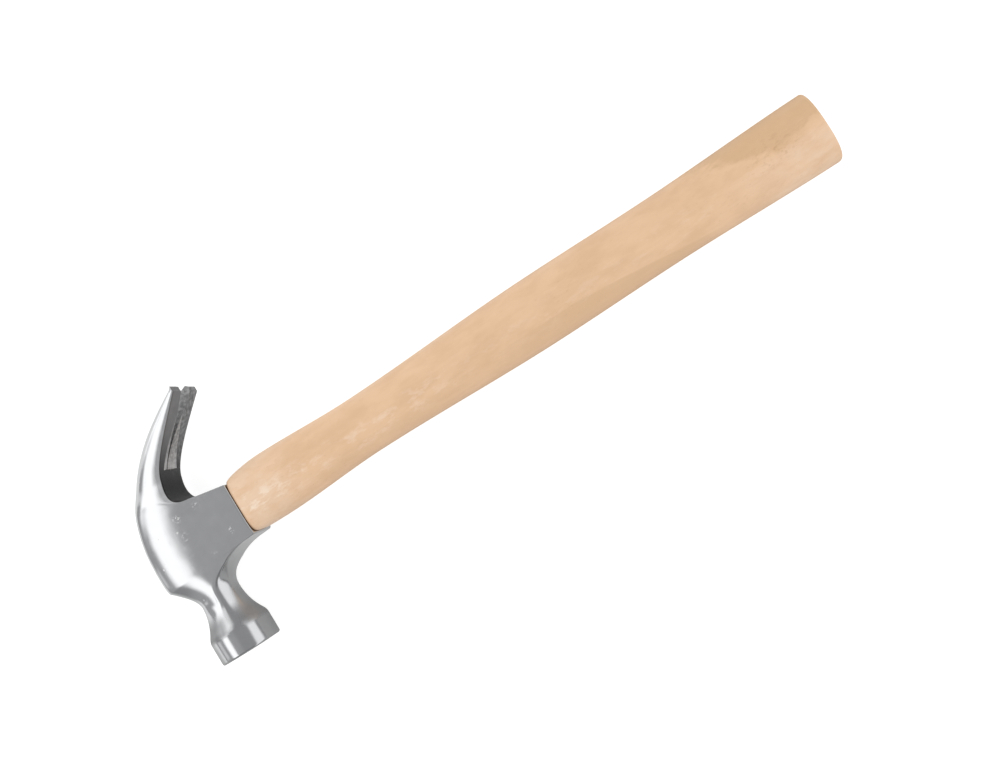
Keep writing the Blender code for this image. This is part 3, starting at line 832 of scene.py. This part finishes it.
def block_slices():
    neck_facet = facet_corner(NECK_RADIUS)
    slices = []
    steps = 40
    for i in range(1, steps + 1):
        turn = 0.5 * math.pi * i / steps
        rise = math.sin(turn)
        fall = max(math.cos(turn), 0.0) ** (2.0 / FILLET_POWER)
        belly = Vector((
            mix(NECK_RADIUS, RIM_DROP, 1.0 - fall),
            mix(NECK_Y, -RIM_FRONT, rise ** (2.0 / FILLET_POWER)),
        ))
        if belly.x > RIM_DROP - RIM_CORNER:
            break
        back = Vector((-mix(NECK_RADIUS, HEAD_TOP, rise ** BACK_RISE_POWER), mix(NECK_Y, -TOP_FRONT, rise)))
        sharpened = min(rise / FACET_END, 1.0)
        front = neck_facet.lerp(FRONT_EDGE, sharpened ** FACET_FADE)
        slices.append(grown_slice(back, belly, front, NECK_ROUNDNESS * (1.0 - ease(sharpened))))
    corner_at = len(slices)
    front_bend = Vector((RIM_DROP - RIM_CORNER, RIM_CORNER - RIM_FRONT))
    rear_bend = Vector((RIM_DROP - RIM_CORNER, RIM_REAR - RIM_CORNER))
    for i in range(RIM_CORNER_STEPS + 1):
        t = i / RIM_CORNER_STEPS
        turn = 0.5 * math.pi * t
        belly = front_bend + Vector((math.sin(turn), -math.cos(turn))) * RIM_CORNER
        back = bezier(BACK_LINE, RIM_CORNER_SHARE * t)
        slices.append(grown_slice(back, belly, FRONT_EDGE.lerp(RIM_EDGE, t)))
    steps = 12
    for i in range(1, steps + 1):
        t = i / steps
        belly = Vector((RIM_DROP, mix(front_bend.y, rear_bend.y, t)))
        back = bezier(BACK_LINE, mix(RIM_CORNER_SHARE, RIM_SHARE - RIM_CORNER_SHARE, t))
        slices.append(grown_slice(back, belly, RIM_EDGE))
    for i in range(1, RIM_CORNER_STEPS + 1):
        t = i / RIM_CORNER_STEPS
        turn = 0.5 * math.pi * t
        belly = rear_bend + Vector((math.cos(turn), math.sin(turn))) * RIM_CORNER
        back = bezier(BACK_LINE, RIM_SHARE - RIM_CORNER_SHARE * (1.0 - t))
        slices.append(ring(back, belly, CHEEK_HALF, RIM_EDGE, CHEEK_ROUND))
    steps = 8
    rear_top = Vector((RIM_DROP - RIM_CORNER, RIM_REAR))
    for i in range(1, steps + 1):
        t = i / steps
        back = bezier(BACK_LINE, mix(RIM_SHARE, REAR_SHARE, t))
        slices.append(ring(back, rear_top.lerp(CROOK, t), CHEEK_HALF, RIM_EDGE, CHEEK_ROUND))
    return ease_across(slices, corner_at, CORNER_REACH, CORNER_EASE_FROM, CORNER_ROUNDS)


print("slices of the block:", len(block_slices()))


# %% Slices of the crook and the claw
CROOK_STEPS = 30
PLAIN_STEPS = 6
HOLLOW_STEPS = 36
TIP_STEPS = 4
HOLLOW_START = 0.008


def crook_slices():
    slices = []
    for i in range(1, CROOK_STEPS + 1):
        t = i / CROOK_STEPS
        back = bezier(BACK_LINE, mix(REAR_SHARE, CROOK_SHARE, t))
        belly = bezier(CROOK_LINE, t)
        thinned = ease((belly.y - CROOK.y) / (CLAW_ROOT.y - CROOK.y))
        claw_long = CLAW_ROUND_SHARE * ((belly - back).length - CLAW_EDGE.x)
        round_long = mix(CHEEK_ROUND.x, claw_long, ease(min(2.0 * t, 1.0)))
        slices.append(ring(
            back,
            belly,
            mix(CHEEK_HALF, CLAW_WAIST_HALF, thinned),
            RIM_EDGE.lerp(CLAW_EDGE, t),
            corner(round_long, mix(CHEEK_ROUND.y, CLAW_ROUND_DEEP, ease(t))),
        ))
    return slices


def claw_slices():
    """Slices of the claw, and how many of them come before the trough and before the tip's bevel."""
    bevel_start = 1.0 - TIP_BEVEL_LENGTH / (3.0 * TIP_PULL)
    trough_start = share_at(CLAW_LINE, CLAW_TIP, NOTCH_DEPTH)
    plain = [trough_start * i / PLAIN_STEPS for i in range(1, PLAIN_STEPS + 1)]
    shares = [max(i / HOLLOW_STEPS, HOLLOW_START) for i in range(HOLLOW_STEPS + 1)]
    hollow = [mix(trough_start, bevel_start, share) for share in shares]
    bevel = [mix(bevel_start, 1.0, i / TIP_STEPS) for i in range(1, TIP_STEPS + 1)]
    slices = []
    for t in plain + hollow + bevel:
        back = bezier(BACK_LINE, mix(CROOK_SHARE, 1.0, t))
        belly = bezier(CLAW_LINE, t)
        left = (belly - CLAW_TIP).length / NOTCH_DEPTH
        if t > bevel_start:
            thin = (t - bevel_start) / (1.0 - bevel_start)
            span = belly - back
            belly = back + span.normalized() * mix(span.length, TIP_BEVEL_THICKNESS, thin)
        thickness = (belly - back).length
        slices.append(ring(
            back,
            belly,
            mix(CLAW_WAIST_HALF, CLAW_TIP_HALF, t * t),
            CLAW_EDGE,
            corner(CLAW_ROUND_SHARE * (thickness - CLAW_EDGE.x), CLAW_ROUND_DEEP),
            trough=mix(TROUGH_TIP_HALF, TROUGH_ROOT_HALF, left) if t > trough_start else 0.0,
        ))
    return slices, len(plain), len(plain) + len(hollow)


print("slices of crook and claw:", len(crook_slices()), len(claw_slices()[0]))

# %% [markdown]
# ## Eye and notch
# Two holes go through the head: the oval eye that takes the handle, narrowest a little below its middle so
# that the wedged wood can't pull out, and the V-shaped nail notch between the claw tips. Both are cut with
# Booleans, which is how the real ones are made too: punched and ground after forging.

# %% A cutter for the eye
EYE_MIDDLE = -2.2 * MM
EYE_OVAL = 2.5
EYE_SIZES = {"top": (21.0 * MM, 12.8 * MM), "waist": (17.0 * MM, 11.8 * MM), "rim": (17.8 * MM, 12.8 * MM)}
EYE_WAIST_SHARE = 0.55
EYE_WAIST_AT = mix(-HEAD_TOP, RIM_DROP, EYE_WAIST_SHARE)
EYE_OVERRUN = 4.0 * MM
EYE_MOUTH_FLARE = 2.4 * MM
OVAL_STEPS = 96
FIT_GAP = 0.3 * MM
TENON_SINK = 0.8 * MM
TENON_TOP = TENON_SINK - HEAD_TOP


def oval(x, middle, half_y, half_z, power):
    """A ring across the handle. A power of 2 is an ellipse, and a higher one is squarer."""
    points = []
    for i in range(OVAL_STEPS):
        turn = 2.0 * math.pi * i / OVAL_STEPS
        c = math.cos(turn)
        s = math.sin(turn)
        y = middle + half_y * math.copysign(abs(c) ** (2.0 / power), c)
        z = half_z * math.copysign(abs(s) ** (2.0 / power), s)
        points.append(Vector((x, y, z)))
    return points


def eye_ring(x, gap):
    """The outline of the eye at a height, drawn in by a gap."""
    if x < EYE_WAIST_AT:
        end = EYE_SIZES["top"]
        t = (EYE_WAIST_AT - x) / (EYE_WAIST_AT + HEAD_TOP)
    else:
        end = EYE_SIZES["rim"]
        t = (x - EYE_WAIST_AT) / (RIM_DROP - EYE_WAIST_AT)
    half_y = 0.5 * mix(EYE_SIZES["waist"][0], end[0], t) - gap
    half_z = 0.5 * mix(EYE_SIZES["waist"][1], end[1], t) - gap
    return oval(x, EYE_MIDDLE, half_y, half_z, EYE_OVAL)


def eye_cutter():
    rings = [eye_ring(-HEAD_TOP - EYE_OVERRUN, -EYE_MOUTH_FLARE)]
    rings += [eye_ring(x, 0.0) for x in (TENON_TOP, EYE_WAIST_AT, RIM_DROP + EYE_OVERRUN)]
    return loft("eye_cutter", rings, [polished])


print("waist of the eye, in mm below the head's axis:", round(EYE_WAIST_AT / MM, 1))

# %% A cutter for the notch
NOTCH_ROOT_HALF = 0.3 * MM
NOTCH_MOUTH_HALF = 5.0 * MM
NOTCH_FLARE = 1.8
NOTCH_LEAN = math.radians(48.65)
NOTCH_OVERRUN = 10.0 * MM
NOTCH_SPAN = (7.0 * MM, -26.0 * MM)
NOTCH_STEPS = 30
NOTCH_ROOT_STEPS = 16


def notch_cutter():
    way = Vector((math.cos(NOTCH_LEAN), math.sin(NOTCH_LEAN)))
    side = Vector((way.y, -way.x))
    start = CLAW_TIP - way * NOTCH_DEPTH
    flare = []
    for i in range(1, NOTCH_STEPS + 1):
        t = i / NOTCH_STEPS
        flare.append((NOTCH_DEPTH * t, mix(NOTCH_ROOT_HALF, NOTCH_MOUTH_HALF, t ** NOTCH_FLARE)))
    flare.append((NOTCH_DEPTH + NOTCH_OVERRUN, NOTCH_MOUTH_HALF))
    outline = [(along, -z) for along, z in flare] + flare[::-1]
    for i in range(NOTCH_ROOT_STEPS + 1):
        turn = math.pi * (0.5 + i / NOTCH_ROOT_STEPS)
        outline.append((NOTCH_ROOT_HALF * math.cos(turn), NOTCH_ROOT_HALF * math.sin(turn)))
    rings = []
    for offset in NOTCH_SPAN:
        spots_on_plane = [(start + way * along + side * offset, z) for along, z in outline]
        rings.append([Vector((spot.x, spot.y, z)) for spot, z in spots_on_plane])
    return loft("notch_cutter", rings, [polished, forged, ground], lambda k, i: GROUND)


print("mouth of the notch in mm:", round(2.0 * NOTCH_MOUTH_HALF / MM, 1))

# %% The head itself
DULL_LEAD = 2


def make_head():
    front = poll_slices() + block_slices()
    crook = crook_slices()
    claw, trough_from, bevel_from = claw_slices()
    slices = ease_across(front + crook + claw, len(front), SEAM_REACH, SEAM_EASE_FROM, SEAM_ROUNDS)
    forged_from = len(front) - DULL_LEAD
    trough_from += len(front) + len(crook)
    bevel_from += len(front) + len(crook) - 1
    count = len(slices[0])

    def finish_of(k, i):
        from_middle = min(i, count - 1 - i)
        if k < forged_from or from_middle >= DULL_POINTS:
            return POLISHED
        if trough_from <= k < bevel_from and from_middle < TROUGH_STEPS:
            return GROUND
        return FORGED

    body = loft("head", slices, [polished, forged, ground], finish_of)
    return cut(body, [eye_cutter(), notch_cutter()])


head = make_head()
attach(head, "root")
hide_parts("hammer_head")
print("head:", len(head.data.vertices), "points,", len(head.data.polygons), "faces")

# %% [markdown]
# ## Handle
# The handle is turned and sanded: it swells below the head, narrows to a waist, swells again in the grip and
# flares to the butt. Heights and thicknesses are given at five stations and eased between them. Its top end
# is the tenon inside the eye, sawn down the middle for the wooden wedge and split across for the steel ones.

# %% Slices of the handle
SHOULDER = RIM_DROP + FIT_GAP
SHOULDER_REAR = 11.0 * MM
SHOULDER_FRONT = 13.4 * MM
SHOULDER_HALF = CHEEK_HALF - 0.4 * MM
SHOULDER_OVAL = 5.0
SHOULDER_POWER = 1.4
BUTT_ROUND = 1.3 * MM
GRIP_OVAL = 2.4
TENON_STEPS = 16
SHOULDER_STEPS = 14
GRIP_STEPS = 22
BUTT_STEPS = 7
STATIONS = [
    (46.0 * MM, 28.4 * MM, 22.8 * MM),
    (92.0 * MM, 25.2 * MM, 20.6 * MM),
    (182.0 * MM, 29.4 * MM, 23.6 * MM),
    (238.0 * MM, 28.5 * MM, 23.0 * MM),
    (HANDLE_END - BUTT_ROUND, 31.0 * MM, 25.0 * MM),
]


def handle_slices():
    """Tenon, shoulder, grip and butt, from the top of the eye down."""
    slices = [eye_ring(mix(TENON_TOP, SHOULDER, i / TENON_STEPS), FIT_GAP) for i in range(TENON_STEPS + 1)]
    first_x, first_height, first_thickness = STATIONS[0]
    for i in range(SHOULDER_STEPS + 1):
        turn = 0.5 * math.pi * i / SHOULDER_STEPS
        t = math.sin(turn) ** SHOULDER_POWER
        slices.append(oval(
            mix(SHOULDER, first_x, 1.0 - math.cos(turn)),
            mix(0.5 * (SHOULDER_REAR - SHOULDER_FRONT), 0.0, t),
            0.5 * mix(SHOULDER_REAR + SHOULDER_FRONT, first_height, t),
            mix(SHOULDER_HALF, 0.5 * first_thickness, t),
            mix(SHOULDER_OVAL, GRIP_OVAL, ease(t)),
        ))
    for first, second in zip(STATIONS, STATIONS[1:]):
        for i in range(1, GRIP_STEPS + 1):
            t = i / GRIP_STEPS
            height = mix(first[1], second[1], ease(t))
            thickness = mix(first[2], second[2], ease(t))
            slices.append(oval(mix(first[0], second[0], t), 0.0, 0.5 * height, 0.5 * thickness, GRIP_OVAL))
    last_x, last_height, last_thickness = STATIONS[-1]
    for i in range(1, BUTT_STEPS + 1):
        turn = 0.5 * math.pi * i / BUTT_STEPS
        inset = BUTT_ROUND * (1.0 - math.cos(turn))
        x = last_x + BUTT_ROUND * math.sin(turn)
        slices.append(oval(x, 0.0, 0.5 * last_height - inset, 0.5 * last_thickness - inset, GRIP_OVAL))
    return slices


print("slices of the handle:", len(handle_slices()))

# %% [markdown]
# ## Wedges
# A wooden wedge driven into the saw cut spreads the tenon sideways, and two steel wedges driven across it
# spread it the other way. Each is a tapered block with slightly rounded edges. The same outlines, a fit gap
# larger, cut their slots, so wood and wedge always agree.

# %% Slices of a wedge or its slot
WOOD_WEDGE_DEPTH = 27.0 * MM
WOOD_WEDGE_HALF = (1.8 * MM, 0.5 * MM)
STEEL_WEDGE_DEPTH = 15.0 * MM
STEEL_WEDGE_HALF = (1.2 * MM, 0.3 * MM)
STEEL_WEDGE_WIDTH_HALF = 4.4 * MM
STEEL_WEDGE_OFFSET = 4.5 * MM
WOOD_WEDGE_EDGE = 0.25 * MM
STEEL_WEDGE_EDGE = 0.2 * MM
STEEL_WEDGE_CREASE = math.radians(30.0)
WEDGE_STEPS = 6
EDGE_LIMIT = 0.45
SLOT_EDGE = 0.01 * MM
SLOT_LIFT = 5.0 * MM


def block_ring(x, middle, half_y, half_z, edge):
    """A rectangle across the handle with cut corners."""
    edge = min(edge, EDGE_LIMIT * half_y, EDGE_LIMIT * half_z)
    points = []
    for side_y, side_z in ((1, 1), (-1, 1), (-1, -1), (1, -1)):
        near = Vector((x, middle + side_y * half_y, side_z * (half_z - edge)))
        far = Vector((x, middle + side_y * (half_y - edge), side_z * half_z))
        points += [near, far] if side_y == side_z else [far, near]
    return points


def wedge_slices(depth, middle, sizes_y, sizes_z, edge, gap=0.0, lift=0.0):
    """Slices of a wedge from its driven end to its tip."""
    slices = []
    if lift > 0.0:
        slices.append(block_ring(TENON_TOP - lift, middle, sizes_y[0] + gap, sizes_z[0] + gap, edge))
    else:
        slices.append(block_ring(TENON_TOP, middle, sizes_y[0] - edge, sizes_z[0] - edge, edge))
    for i in range(WEDGE_STEPS + 1):
        t = i / WEDGE_STEPS
        x = TENON_TOP + (edge if lift == 0.0 and i == 0 else mix(0.0, depth + gap, t))
        half_y = mix(sizes_y[0], sizes_y[1], t) + gap
        half_z = mix(sizes_z[0], sizes_z[1], t) + gap
        slices.append(block_ring(x, middle, half_y, half_z, edge))
    return slices


print("steps along each wedge:", WEDGE_STEPS)

# %% Wooden wedge, and the saw cut it sits in
wedge_length = 0.5 * EYE_SIZES["waist"][0] - 2.0 * FIT_GAP
wedge_rings = wedge_slices(
    WOOD_WEDGE_DEPTH, EYE_MIDDLE, (wedge_length, wedge_length), WOOD_WEDGE_HALF, WOOD_WEDGE_EDGE)
wood_wedge = loft("wooden_wedge_piece", wedge_rings, [wedge_wood])
kerf_length = EYE_SIZES["top"][0]
kerf_rings = wedge_slices(
    WOOD_WEDGE_DEPTH, EYE_MIDDLE, (kerf_length, kerf_length), WOOD_WEDGE_HALF, SLOT_EDGE, FIT_GAP, SLOT_LIFT)
kerf = loft("kerf_cutter", kerf_rings, [timber])
handle = cut(loft("handle_wood", handle_slices(), [timber]), [kerf])
print("saw cut in mm:", round((WOOD_WEDGE_DEPTH + FIT_GAP) / MM, 1))

# %% Steel wedges, and their slots in both woods
width = (STEEL_WEDGE_WIDTH_HALF, STEEL_WEDGE_WIDTH_HALF)
pieces = [(handle, "handle", "pale_hardwood"), (wood_wedge, "wooden_wedge", "wedge_hardwood")]
for side, node in ((1.0, "steel_wedge_claw_side"), (-1.0, "steel_wedge_face_side")):
    middle = EYE_MIDDLE + side * STEEL_WEDGE_OFFSET
    wedge_rings = wedge_slices(STEEL_WEDGE_DEPTH, middle, STEEL_WEDGE_HALF, width, STEEL_WEDGE_EDGE)
    slot_rings = wedge_slices(
        STEEL_WEDGE_DEPTH, middle, STEEL_WEDGE_HALF, width, SLOT_EDGE, FIT_GAP, SLOT_LIFT)
    piece = loft(node + "_piece", wedge_rings, [strip_steel])
    piece.data.shade_smooth()
    piece.data.set_sharp_from_angle(angle=STEEL_WEDGE_CREASE)
    for body in (handle, wood_wedge):
        cut(body, [loft("slot_cutter", slot_rings, [timber])])
    pieces.append((piece, node, "plain_steel"))

for piece, node, slot in pieces:
    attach(piece, "root")
    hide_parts(node)
    print(piece.name, len(piece.data.polygons), "faces")

# %% [markdown]
# ## Floor and light
# A polished head shows the studio more than itself, so the studio is made for it. Large soft panels hang
# round such a tool when it is photographed. Here they are painted into the world as bands with soft edges,
# and only mirror-like rays see them: a long bright panel past the back, smaller ones for the flare, the top
# of the head and the neck, and a grey room between them for the flat cheek. The wood takes an even light
# from the world and two soft boxes, which the steel doesn't show. The floor is white to the camera, glows to
# the steel only on the side of the back, and keeps a faint shadow.

# %% Floor
WHITE = (1.0, 1.0, 1.0, 1.0)
PAPER_GREY = (0.42, 0.42, 0.42, 1.0)
FLOOR_REACH = 4.0
FLOOR_GLOW = 0.80
BOUNCE_GLOW = 0.85
MIRRORED_GLOW = 0.65
GLOW_LEAN = 0.3

sides = ((-1, -1), (1, -1), (1, 1), (-1, 1))
corners = [(side_x * FLOOR_REACH, side_y * FLOOR_REACH, 0.0) for side_x, side_y in sides]
floor_mesh = bpy.data.meshes.new("floor")
floor_mesh.from_pydata(corners, [], [(0, 1, 2, 3)])
floor = bpy.data.objects.new("floor", floor_mesh)
bpy.context.scene.collection.objects.link(floor)
paper = bpy.data.materials.new("white_paper")
paper.use_nodes = True
paper.node_tree.nodes.clear()
floor_mesh.materials.append(paper)


def ray(start, kind):
    """1 for rays of one kind: the camera's, those through glass, mirror-like or bounced ones."""
    return start.node("ShaderNodeLightPath", output="Is " + kind + " Ray")


start = Wire(paper.node_tree)
matt = start.node("ShaderNodeBsdfDiffuse", {}, {"Color": PAPER_GREY})
glow = start.node("ShaderNodeEmission", {}, {"Color": WHITE, "Strength": FLOOR_GLOW})
lit = start.node("ShaderNodeAddShader", {}, {0: matt, 1: glow})
spot = start.node("ShaderNodeTexCoord", output="Object")
towards_claw = part_of(spot, "Y") - ORIGIN.y - (part_of(spot, "X") - ORIGIN.x) * GLOW_LEAN
mirrored = step(towards_claw, -60.0 * MM, 10.0 * MM) * MIRRORED_GLOW
seen = ray(start, "Camera") + ray(start, "Transmission")
seen = seen + ray(start, "Glossy") * mirrored + ray(start, "Diffuse") * BOUNCE_GLOW
surface = start.node("ShaderNodeMixShader", {}, {0: seen, 1: matt, 2: lit})
start.node("ShaderNodeOutputMaterial", {}, {"Surface": surface})
print("floor", 2.0 * FLOOR_REACH, "m wide")

# %% Edges of the light panels
world = bpy.data.worlds.new("studio")
bpy.context.scene.world = world
world.use_nodes = True
world.node_tree.nodes.clear()
start = Wire(world.node_tree)
way = start.node("ShaderNodeTexCoord", output="Generated")
over = part_of(way, "Z")
towards_claw = part_of(way, "Y")
to_butt = part_of(way, "X")
aside = towards_claw.sum("ABSOLUTE", towards_claw, 0.0)


def past(degrees, soft):
    """Directions turned past an angle, counted from the butt's horizon over the zenith to the back."""
    turn = math.radians(degrees)
    return step(over * math.cos(turn) - to_butt * math.sin(turn), -soft, soft)


claw_root = step(towards_claw, 0.13, 0.32)
claw_bend = step(towards_claw, 0.18, 0.38)
claw_end = step(towards_claw, 0.48, 0.64)
poll_end = step(towards_claw, -0.40, -0.55)
back_edge = past(121.5, 0.07)
back_edge = back_edge.sum("MAXIMUM", back_edge, past(114.5, 0.08) * claw_root)
back_far_edge = past(143.0, 0.09) * (1.0 - claw_bend) + past(156.0, 0.10) * claw_bend
back_panel = back_edge * (1.0 - back_far_edge * (1.0 - claw_end)) * (1.0 - poll_end)
flare_panel = past(93.0, 0.10) * (1.0 - past(128.0, 0.10)) * step(towards_claw, 0.36, 0.50)
low_panel = past(158.0, 0.05) * (1.0 - past(172.0, 0.05)) * step(aside, 0.09, 0.04)
butt_panel = past(11.0, 0.08) * (1.0 - past(42.0, 0.09)) * step(to_butt, 0.20, 0.35)
butt_panel = butt_panel * step(towards_claw, 0.75, 0.40)
print("panels: back, flare, low, butt")

# %% The room and its panels
ROOM_FRONT = (0.36, 0.36, 0.364, 1.0)
ROOM_BACK = (0.44, 0.44, 0.445, 1.0)
ROOM_POLL = (0.25, 0.25, 0.253, 1.0)
FLARE_LIGHT = (1.00, 1.00, 1.00, 1.0)
BACK_LIGHT = (1.58, 1.58, 1.58, 1.0)
LOW_LIGHT = (0.80, 0.80, 0.81, 1.0)
BUTT_LIGHT = (1.15, 1.15, 1.16, 1.0)
EVEN_LIGHT = (0.98, 0.98, 0.98, 1.0)

room = tint(past(95.0, 0.15), ROOM_FRONT, ROOM_BACK)
room = tint(step(towards_claw, -0.35, -0.70), room, ROOM_POLL)
room = tint(flare_panel, room, FLARE_LIGHT)
room = tint(back_panel, room, BACK_LIGHT)
room = tint(low_panel, room, LOW_LIGHT)
room = tint(butt_panel, room, BUTT_LIGHT)
room = tint(ray(start, "Diffuse"), room, EVEN_LIGHT)
room = tint(ray(start, "Camera") + ray(start, "Transmission"), room, WHITE)
sky = start.node("ShaderNodeBackground", {}, {"Color": room, "Strength": 1.0})
start.node("ShaderNodeOutputWorld", {}, {"Surface": sky})
print("world:", world.name)


# %% Soft boxes for the wood
def soft_box(name, place, width, height, radiance):
    """An area lamp at a place, in mm from the hammer's origin, aimed at that origin."""
    lamp = bpy.data.lights.new(name, "AREA")
    lamp.shape = "RECTANGLE"
    lamp.size = width * MM
    lamp.size_y = height * MM
    lamp.energy = math.pi * radiance * lamp.size * lamp.size_y
    box = bpy.data.objects.new(name, lamp)
    box.location = ORIGIN + Vector(place) * MM
    box.rotation_mode = "QUATERNION"
    box.rotation_quaternion = (-Vector(place)).to_track_quat("-Z", "Y")
    box.visible_glossy = False
    bpy.context.scene.collection.objects.link(box)
    print(name, round(lamp.energy, 2), "W")


soft_box("back_key", (-620.0, 400.0, 670.0), 420.0, 300.0, 1.6)
soft_box("butt_key", (860.0, 0.0, 500.0), 500.0, 300.0, 1.6)
bpy.context.scene.view_settings.view_transform = "Standard"

# %% [markdown]
# ## Last step
# The finished pieces have to fill the same box as the solids. The last cell only brings the scene up to
# date before the frame closes the lesson.

# %% Bring the scene up to date
bpy.context.view_layer.update()
